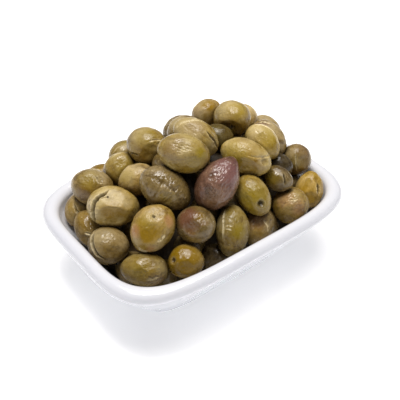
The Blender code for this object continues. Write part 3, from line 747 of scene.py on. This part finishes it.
def random_marks(olive, plain):
    """Marks for an olive that the photograph hides: flats, a crack, a scar and blushes, by its own draw."""
    draw = olive.draw
    for _ in range(draw.integers(2, 5)):
        away = draw.normal(size=3) * np.array([0.5, 1.0, 1.0])
        olive.flats.append((unit(away), draw.uniform(0.03, 0.12)))
    if plain:
        return
    for _ in range(draw.integers(1, 3)):
        turn = draw.uniform(0, 2 * math.pi)
        start, end = sorted(draw.uniform(-0.75, 0.75, 2))
        t = np.linspace(start, max(end, start + 0.5), 9)
        sway = turn + 0.35 * np.sin(3 * t + draw.uniform(0, 6))
        r = np.sqrt(1 - np.minimum(t, 0.95) ** 2)
        way = np.stack([np.minimum(t, 0.95), r * np.cos(sway), r * np.sin(sway)], 1)
        olive.cuts.append((olive.skin(way), draw.uniform(0.5, 1.0), draw.uniform(0.4, 1.8),
                           draw.choice([-1, 1]) * draw.uniform(0.2, 0.6), draw.uniform(0.4, 1.0)))
    if draw.random() < 0.4:
        end = np.array([[math.copysign(1.0, draw.uniform(-1, 1)), 0.0, 0.0]])
        olive.scars.append((olive.skin(end)[0], draw.uniform(0.9, 1.6), draw.uniform(0.4, 1.0)))
    for _ in range(2):
        spot = olive.skin(unit(draw.normal(size=3))[None])[0]
        olive.patches["net"].append((spot, draw.uniform(4, 8), draw.uniform(0.4, 0.9)))
        kind = draw.choice(["blush", "blush", "amber", "lime", "pale"])
        olive.patches[kind].append((-spot, draw.uniform(4, 8), draw.uniform(0.3, 0.8)))


def photo_marks(olive):
    """Marks of a seen olive, laid on it along their sight lines."""
    def laid(kind):
        return [(olive.spot(column, row), *rest) for column, row, *rest in olive.marks.get(kind, [])]

    olive.flats = [(olive.towards(*middle), depth) for *middle, depth in olive.marks.get("flats", [])]
    olive.cuts = [(olive.path(corners), *rest) for corners, *rest in olive.marks.get("cuts", [])]
    olive.dents, olive.scars = laid("dents"), laid("scars")
    olive.patches = {kind: laid(kind) for kind in PATCHES}


def painted_contact_shade(points, olive, others):
    """How near points of an olive lie to its neighbours, from 0 in the open to 1 where they touch: the
    amount of painted shade that darkens the skin there.
    """
    near = np.zeros(len(points))
    for other in others:
        apart = np.linalg.norm(other.place - olive.place)
        if other is olive or apart > olive.half.max() + other.half.max() + PAINTED_SHADE_REACH:
            continue
        off = points - other.place
        share = lengths(off @ other.axes.T / other.half)
        gap = lengths(off) * (1 - 1 / share)
        near = np.maximum(near, np.clip(1 - gap / PAINTED_SHADE_REACH, 0, 1))
    return near


def mesh_olive(olive, steps, detail, others):
    """Points, faces and skin values of one olive, with finer faces on its open side and near its marks."""
    def open_side(middle):
        return middle @ out > OPEN_SIDE

    def near_marks(middle):
        p = olive.skin(middle)
        near = np.zeros(len(p), bool)
        for line, width, *_ in olive.cuts:
            near |= near_line(p, line)[0] < width * 1.5 + 0.5
        for spot, radius, _ in olive.dents + olive.scars:
            near |= lengths(p - spot) < radius * 1.3 + 0.5
        return near

    x, y = olive.place[:2]
    out = np.array([mound(x - 1, y) - mound(x + 1, y), mound(x, y - 1) - mound(x, y + 1), 2.0])
    out = olive.axes @ unit(out)
    ball, faces = ball_mesh(steps)
    for wanted in (open_side, near_marks)[:detail]:
        ball, faces = refine(ball, faces, wanted)
    base = olive.skin(ball)
    away = ball / olive.half
    away /= lengths(away)[:, None]
    own = base + olive.number * SKIN_SHIFT
    rise, flesh, pit, ridge, net = np.zeros((5, len(base)))

    for line, width, depth, lift, pale in olive.cuts:
        far, side, run, length = near_line(base, line)
        wobble = 1 + WOBBLE * soft_noise(own * 0.8, WOBBLE_SEED, 2)
        taper = np.clip(np.minimum(run, length - run) / (TAPER * length) + 0.12, 0, 1)
        wide = width * wobble * taper + 1e-3
        inside = np.clip(1 - far / wide, 0, 1)
        rise -= depth * taper * inside ** 0.8
        over = np.clip(far - wide, 0, None)
        lip = np.exp(-(over / (0.4 * width + 0.12)) ** 2) * taper
        raised = np.where(side * lift > 0, abs(lift), LOW_LIP * abs(lift))
        rise += raised * np.exp(-over / LIP_REACH) * (1 - inside) * taper
        # The bottom of a deep cut turns dark: painted shade in the crack
        deep = min(max((depth - DARK_FROM) / DARK_SPAN, 0.0), 1.0)
        pit = np.maximum(pit, deep * inside ** 0.7 * taper)
        flesh = np.maximum(flesh, pale * lip * np.where(side * lift >= 0, 1.0, LOW_LIP_PALE))
        flesh = np.maximum(flesh, pale * (1 - deep) * inside ** 0.5 * taper)
    for spot, radius, depth in olive.dents:
        far = lengths(base - spot) / radius
        rise -= depth * np.exp(-far ** 2 * 1.2)
        rise += 0.10 * depth * np.exp(-(far - 1.45) ** 2 * 5)
    for spot, radius, dark in olive.scars:
        far = lengths(base - spot) / radius
        far = far * (1 + 0.18 * soft_noise(own * 0.9, SCAR_SEED, 2))
        rise -= 0.35 * np.exp(-(far * 1.3) ** 4)
        rise += 0.06 * np.exp(-(far - 1.25) ** 2 * 14)
        # The scar's middle turns dark: partly its own dark colour, partly painted shade in its hole
        pit = np.maximum(pit, dark * np.exp(-(far * 0.92) ** 4))
        flesh = np.maximum(flesh, 0.22 * np.exp(-(far - 1.3) ** 2 * 12))

    def patch(kind, seed):
        shade = np.zeros(len(base))
        for spot, radius, strength in olive.patches[kind]:
            far = lengths(base - spot) / radius
            far = far * (1 + 0.45 * soft_noise(own * 0.28, seed))
            shade = np.maximum(shade, strength * np.clip(1.6 - 1.6 * far, 0, 1) ** 0.8)
        return shade

    grain = NET_ACROSS_PER_MM if olive.marks.get("across") else NET_PER_MM
    wrinkle = 1 - np.abs(soft_noise(own * grain, WRINKLE_SEED)) * 2.6
    for spot, radius, strength in olive.patches["net"]:
        far = lengths(base - spot) / radius
        mask = strength * np.clip(1.25 - 1.25 * far, 0, 1) ** 0.7
        net = np.maximum(net, mask)
        # Wrinkle crests are marked for a painted highlight in the skin's lighter colour
        ridge = np.maximum(ridge, mask * np.clip(wrinkle, 0, 1))
        rise += NET_HEIGHT * mask * (np.clip(wrinkle, -0.6, 1) - 0.3)
    rise += SKIN_HEIGHT * soft_noise(own * 0.33, SKIN_SEED)
    rough = np.clip(0.6 + 0.9 * soft_noise(own * 0.14, ROUGH_SEED, 2), 0.15, 1)
    rise += FINE_HEIGHT * rough * soft_noise(own * FINE_PER_MM, FINE_SEED, 2)
    values = {"flesh": flesh, "pit": pit, "ridge": ridge, "net": net}
    for k, kind in enumerate(PATCHES[:4]):
        values[kind] = patch(kind, FIRST_PATCH_SEED + 2 * k)
    tone = olive.draw.uniform(-TONE_SPREAD, TONE_SPREAD)
    values["tone"] = np.full(len(base), olive.marks.get("tone", tone))
    points = (base + away * rise[:, None]) @ olive.axes + olive.place
    points[:, 2] = np.minimum(points[:, 2], HEAP_TOP)
    # Painted shade: the material darkens the skin near each neighbour by this value
    values["shade"] = painted_contact_shade(points, olive, others)
    return points, faces, own, values


def join_olives(name, olives, others, material):
    """One mesh object of several olives, with their skin values as attributes."""
    points, faces, own, values = zip(*[mesh_olive(*olive, others) for olive in olives])
    starts = np.cumsum([0] + [len(p) for p in points[:-1]])
    faces = np.concatenate([f + start for f, start in zip(faces, starts)])
    item = smooth_mesh(name, np.concatenate(points), faces, material)
    for key in values[0]:
        layer = item.data.attributes.new(key, "FLOAT", "POINT")
        layer.data.foreach_set("value", np.concatenate([v[key] for v in values]).astype(np.float32))
    layer = item.data.attributes.new("own", "FLOAT_VECTOR", "POINT")
    layer.data.foreach_set("vector", np.concatenate(own).astype(np.float32).ravel())
    return item


def add_object(name, data):
    item = bpy.data.objects.new(name, data)
    bpy.context.scene.collection.objects.link(item)
    return item


def smooth_mesh(name, points, faces, material):
    """A smooth mesh object from points in millimetres and triangles."""
    mesh = bpy.data.meshes.new(name)
    mesh.from_pydata((points * MM).tolist(), [], faces.tolist(), shade_flat=False)
    mesh.materials.append(material)
    return add_object(name, mesh)


# The dish
def fine_profile():
    """Inset and height of the dish's section, in many small steps, from the foot to the inner floor."""
    slant = math.atan2(FOOT_INSET, HEIGHT - ROLL)
    foot = FOOT_INSET + FOOT_ROUND * (1 - math.sin(slant)) / math.cos(slant)
    roll_start = HEIGHT - ROLL - ROLL * math.sin(LIP_TURN)
    foot_turns = [(math.pi / 2 - slant) * k / 8 for k in range(9)]
    roll_turns = [-LIP_TURN + (math.pi + LIP_TURN) * k / 32 for k in range(33)]
    inner = list(np.linspace(HEIGHT - ROLL - 1, FLOOR + COVE, 18))
    inner += [FLOOR + COVE * (1 - math.sin(math.pi / 2 * k / 12)) for k in range(1, 13)]
    return ([(foot - FOOT_ROUND * math.sin(t), FOOT_ROUND * (1 - math.cos(t))) for t in foot_turns]
            + [(outer_inset(z), z) for z in np.linspace(3, roll_start - 0.8, 16)]
            + [(ROLL - ROLL * math.cos(t), HEIGHT - ROLL + ROLL * math.sin(t)) for t in roll_turns]
            + [(float(inner_inset(z)), z) for z in inner])


def level_ring(flat, z):
    return np.column_stack([flat, np.full(len(flat), z)])


def closed_rings(rings, first_tip, last_tip):
    """Points and triangles of a closed form: rings, one after the other, with a tip at each end."""
    around = len(rings[0])
    points = np.concatenate(rings + [[first_tip, last_tip]])
    i = np.arange(around)
    n = (i + 1) % around
    last = (len(rings) - 1) * around
    faces = []
    for a in range(0, last, around):
        b = a + around
        faces += [np.stack([a + i, a + n, b + n], 1), np.stack([a + i, b + n, b + i], 1)]
    faces.append(np.stack([n, i, np.full(around, len(points) - 2)], 1))
    faces.append(np.stack([last + i, last + n, np.full(around, len(points) - 1)], 1))
    return points, np.concatenate(faces)


def make_fine_dish(material):
    directions = even_directions(DISH_STEPS)
    rings = [level_ring(oval(inset + DISH_WITHIN, directions), z) for inset, z in fine_profile()]
    start, end = rings[0], rings[-1]
    foot, floor = start[0, 2], end[0, 2]
    rings = ([level_ring(start[:, :2] * s, foot) for s in (0.15, 0.4, 0.65, 0.85)] + rings
             + [level_ring(end[:, :2] * s, floor) for s in (0.8, 0.55, 0.3, 0.12)])
    points, faces = closed_rings(rings, [0.0, 0.0, foot], [0.0, 0.0, floor])
    wave = soft_noise(points * GLAZE_PER_MM, GLAZE_SEED, 2)
    inward = level_ring(points[:, :2], 0.0)
    inward /= lengths(inward)[:, None] + 1e-9
    steep = np.clip((points[:, 2] - 3.0) / 8, 0, 1)
    points = points - inward * ((wave + 1) * 0.5 * GLAZE_WAVE * steep)[:, None]
    return smooth_mesh("dish_glazed", points, faces, material)


def make_bed(material):
    """The dark bed under the olives: it fills the dish, a little clear of the wall, and its near-black brown
    is painted shade in the gaps between them.
    """
    directions = even_directions(BED_STEPS)
    low = FLOOR + CLEAR
    top = float(mound(*PEAK, BED_DROP))
    rings = []
    for z in np.concatenate([[low, low + 0.8], np.linspace(low + 2, BED_EDGE, 8)]):
        rings.append(level_ring(oval(float(inner_inset(z - CLEAR)) + CLEAR, directions), z))
    rim = rings[-1][:, :2]
    for share in np.linspace(0.97, 0.04, 24):
        z = BED_EDGE + (top - BED_EDGE) * (1 - share ** 1.8)
        rings.append(level_ring(PEAK + share * (rim - PEAK), z))
    points, faces = closed_rings(rings, [0.0, 0.0, low], [*PEAK, top])
    points[:, 2] += np.clip((points[:, 2] - BED_EDGE) / 4, 0, 1) * soft_noise(points * 0.12, BED_SEED) * 1.5
    return smooth_mesh("olive_bed", points, faces, material)


# Materials
class Nodes:
    """Small helper that adds and joins the nodes of one material."""

    def __init__(self, name):
        self.material = bpy.data.materials.new(name)
        self.material.use_nodes = True
        self.tree = self.material.node_tree
        self.shader = self.tree.nodes["Principled BSDF"]

    def put(self, socket, value):
        if isinstance(value, bpy.types.NodeSocket):
            self.tree.links.new(value, socket)
        elif socket.type == "RGBA":
            socket.default_value = (*value, 1.0)
        else:
            socket.default_value = value

    def look(self, **values):
        """Sets the shader's own sockets. An underscore in a name stands for a space."""
        for name, value in values.items():
            self.put(self.shader.inputs[name.replace("_", " ")], value)

    def add(self, kind, inputs, output=0, **settings):
        node = self.tree.nodes.new("ShaderNode" + kind)
        for name, value in settings.items():
            setattr(node, name, value)
        for name, value in inputs.items():
            self.put(node.inputs[name], value)
        return node.outputs[output]

    def attribute(self, name, output="Fac"):
        return self.add("Attribute", {}, output, attribute_name=name)

    def noise(self, where, scale, detail=3.0, rough=0.5, twist=0.0):
        return self.add("TexNoise", {"Vector": where, "Scale": scale, "Detail": detail, "Roughness": rough,
                                     "Distortion": twist}, "Fac")

    def spread(self, value, low, high, out_low=0.0, out_high=1.0):
        return self.add("MapRange", {"Value": value, "From Min": low, "From Max": high, "To Min": out_low,
                                     "To Max": out_high}, "Result", interpolation_type="SMOOTHSTEP")

    def math(self, kind, a, b):
        return self.add("Math", {0: a, 1: b}, operation=kind)

    def mix(self, share, a, b, kind="MIX"):
        return self.add("Mix", {0: share, 6: a, 7: b}, 2, data_type="RGBA", blend_type=kind)

    def stretch(self, where, scale):
        return self.add("VectorMath", {0: where, 1: scale}, operation="MULTIPLY")

    def bump(self, height, strength, distance):
        self.look(Normal=self.add("Bump", {"Height": height, "Strength": strength, "Distance": distance}))


# Skins: main colour, its lighter and darker mottles, the blush, and the coat of the wet surface. The lighter
# colour also paints highlights on wrinkle crests, and the darker one goes into the painted shade where
# olives touch
SKINS = {
    "green": ((0.25, 0.164, 0.029), (0.38, 0.288, 0.106), (0.105, 0.06, 0.009), (0.12, 0.052, 0.016), 0.16),
    "yellow": ((0.292, 0.191, 0.031), (0.425, 0.323, 0.114), (0.125, 0.073, 0.009),
               (0.135, 0.06, 0.016), 0.16),
    "khaki": ((0.226, 0.147, 0.036), (0.35, 0.257, 0.114), (0.092, 0.053, 0.011), (0.115, 0.05, 0.02), 0.16),
    "amber": ((0.23, 0.145, 0.018), (0.37, 0.256, 0.084), (0.1, 0.053, 0.006), (0.38, 0.175, 0.08), 0.16),
    "dark": ((0.13, 0.085, 0.02), (0.232, 0.169, 0.076), (0.055, 0.031, 0.008), (0.12, 0.043, 0.022), 0.35),
    "purple": ((0.105, 0.05, 0.028), (0.19, 0.105, 0.068), (0.05, 0.022, 0.01), (0.17, 0.078, 0.072), 0.45),
}
AMBER = (0.215, 0.124, 0.003)
LIME = (0.262, 0.186, 0.010)
# Pale skin colour, which also stands as painted sheen on the lit tops and painted reflection at the rims
PALE_SKIN_AND_SHEEN = (0.485, 0.394, 0.210)
FLESH = (0.66, 0.56, 0.33)
# Near-black brown: painted shade in cracks, stem holes and where olives touch, and the scars' own dark
DARK_SCAR_AND_SHADE = (0.016, 0.008, 0.003)


def olive_material(name, across, main, light, dark, blush, coat):
    n = Nodes(name)
    own = n.attribute("own", "Vector")
    patches = n.spread(n.noise(own, 0.11, 3.0, 0.6, 0.5), 0.42, 0.62)
    brown = n.spread(n.noise(n.stretch(own, (0.6, 1.0, 1.0)), 0.17, 4.0, 0.65, 0.8), 0.47, 0.66)
    cloudy = n.spread(n.noise(own, 0.50, 3.0, 0.65, 0.3), 0.44, 0.64)
    streak = n.spread(n.noise(n.stretch(own, (0.25, 1.0, 1.0)), 0.8, 3.0, 0.65), 0.46, 0.66)
    speck = n.spread(n.noise(own, 1.25, 1.0, 0.5), 0.66, 0.74)
    fleck = n.spread(n.noise(own, 0.75, 2.0, 0.6), 0.66, 0.76)
    broken = n.spread(n.noise(own, 0.7, 3.0, 0.6), 0.30, 0.55)
    color = main
    # Paints in turn: the crest paint is a painted highlight on wrinkle crests, the pale paint is partly
    # paler skin and partly painted sheen and rim reflection, and the darkest paint is painted shade in
    # cracks and stem holes besides the scars' own dark
    for mask, strength, paint in (
            (patches, 0.85, light), (brown, 0.80, dark), (cloudy, 0.30, light), (streak, 0.30, dark),
            ("pale", 0.80, PALE_SKIN_AND_SHEEN), ("amber", 0.92, AMBER), ("lime", 0.80, LIME), ("blush", 0.85, blush),
            (speck, 0.55, dark), (fleck, 0.40, FLESH), ("ridge", 0.30, light), ("flesh", broken, FLESH),
            ("pit", 1.0, DARK_SCAR_AND_SHADE)):
        mask = n.attribute(mask) if isinstance(mask, str) else mask
        color = n.mix(n.math("MULTIPLY", mask, strength), color, paint)
    # Painted shade where olives touch: the skin turns towards a near-black brown
    contact_shade = n.spread(n.attribute("shade"), 0.1, 1.0, 0.0, 0.85)
    color = n.mix(contact_shade, color, n.mix(0.35, DARK_SCAR_AND_SHADE, dark))
    tone = n.math("ADD", n.attribute("tone"), 1.12)
    color = n.mix(1.0, color, n.add("CombineColor", {0: tone, 1: tone, 2: tone}), "MULTIPLY")
    rough = n.spread(n.noise(own, 0.7, 3.0, 0.6), 0.35, 0.65, 0.20, 0.42)
    for patch, rougher in (("amber", -0.10), ("net", -0.07), ("pale", 0.12)):
        rough = n.math("ADD", rough, n.math("MULTIPLY", n.attribute(patch), rougher))
    rough = n.math("MAXIMUM", rough, n.math("MULTIPLY", n.attribute("pit"), 0.7))
    n.look(Base_Color=color, Roughness=rough, Specular_IOR_Level=0.29, Coat_Weight=coat, Coat_Roughness=0.10)
    grain = (NET_ACROSS_PER_MM if across else NET_PER_MM) * 1.2
    fold = n.math("SUBTRACT", n.noise(n.stretch(own, tuple(grain)), 1.0, 1.0, 0.6, 0.3), 0.5)
    fold = n.math("MULTIPLY", n.math("ABSOLUTE", fold, 0.0), -0.45)
    pores = n.math("MULTIPLY", n.noise(own, 1.1, 2.0, 0.6), 0.050)
    n.bump(n.math("ADD", pores, n.math("MULTIPLY", fold, n.attribute("net"))), 1.0, 0.001)
    return n.material


def glaze_material():
    n = Nodes("white_glaze_fine")
    where = n.add("TexCoord", {}, "Object")
    cloud = n.spread(n.noise(where, 18.0, 2.0, 0.5), 0.3, 0.7)
    n.look(Base_Color=n.mix(cloud, (0.735, 0.752, 0.805), (0.765, 0.780, 0.825)),
           Roughness=n.spread(n.noise(where, 60.0, 2.0, 0.5), 0.3, 0.7, 0.10, 0.17),
           Coat_Weight=0.3, Coat_Roughness=0.05)
    n.bump(n.noise(where, 90.0, 2.0, 0.5), 0.12, 0.0002)
    return n.material


def bed_shade_material():
    n = Nodes("dark_bed_painted_shade")
    shade = n.noise(n.add("TexCoord", {}, "Object"), 160.0, 3.0, 0.6)
    # Near-black brown: painted shade in the gaps between the olives
    n.look(Base_Color=n.mix(shade, (0.030, 0.019, 0.008), (0.075, 0.048, 0.018)), Roughness=0.5)
    return n.material


def floor_material():
    n = Nodes("pale_floor")
    n.look(Base_Color=(0.93, 0.93, 0.935), Roughness=0.85, Emission_Color=(1.0, 1.0, 1.0),
           Emission_Strength=FLOOR_GLOW)
    return n.material


def wear(piece, *nodes, slot):
    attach(piece, "root")
    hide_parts(*nodes)


def make_olives():
    place, axes, half, layer = lay_olives()
    groups = {"olives_" + kind: [] for kind in (*SKINS, "green_behind", "khaki_behind", "under")}
    for k, whereabouts in enumerate(zip(place, axes, half)):
        olive = Olive(k, *whereabouts)
        if k < len(SEEN):
            photo_marks(olive)
            kind, steps, detail = olive.marks["skin"], SEEN_STEPS, 2
        else:
            random_marks(olive, layer[k] > 1)
            kind, steps, detail = "under", UNDER_STEPS, 0
            if layer[k] == 1:
                kind = "green_behind" if olive.draw.random() < GREEN_BEHIND else "khaki_behind"
                steps, detail = BEHIND_STEPS, 1
        groups["olives_" + kind].append((olive, steps, detail))
    everyone = [olive for olives in groups.values() for olive, _, _ in olives]
    for name, olives in groups.items():
        skin = name.split("_")[1]
        material = olive_material(name + "_skin", skin == "dark", *SKINS.get(skin, SKINS["dark"]))
        wear(join_olives(name, olives, everyone, material), "olive_heap", slot="olive_skin")


def make_studio():
    bpy.ops.mesh.primitive_plane_add(size=FLOOR_SIZE, location=(0, 0, 0))
    floor = bpy.context.active_object
    floor.name = "floor"
    floor.data.materials.append(floor_material())
    world = bpy.data.worlds.new("soft_white")
    world.use_nodes = True
    sky = world.node_tree.nodes["Background"]
    sky.inputs["Color"].default_value = (0.92, 0.92, 1.0, 1.0)
    sky.inputs["Strength"].default_value = WORLD_LIGHT
    bpy.context.scene.world = world
    for name, place, size, power, color in LIGHTS:
        data = bpy.data.lights.new(name, "AREA")
        data.shape = "RECTANGLE"
        data.size, data.size_y = size
        data.energy = power
        data.color = color
        lamp = add_object(name, data)
        lamp.location = place
        lamp.rotation_euler = (Vector((0, 0, 0.04)) - Vector(place)).to_track_quat("-Z", "Y").to_euler()
    bpy.context.scene.view_settings.view_transform = "Standard"


def make_camera():
    data = bpy.data.cameras.new("camera")
    data.sensor_width = 36.0
    data.lens = LOOK_SCALE / (2 * LOOK_MIDDLE) * data.sensor_width
    data.clip_start, data.clip_end = 0.01, 20.0
    camera = add_object("camera", data)
    turned = Matrix((RIGHT, UP, BACK)).transposed()
    camera.matrix_world = Matrix.Translation(Vector(EYE * MM)) @ turned.to_4x4()
    bpy.context.scene.camera = camera


make_camera()
wear(make_fine_dish(glaze_material()), "dish", slot="white_glaze")
wear(make_bed(bed_shade_material()), "olive_heap", slot="olive_skin")
make_olives()
make_studio()
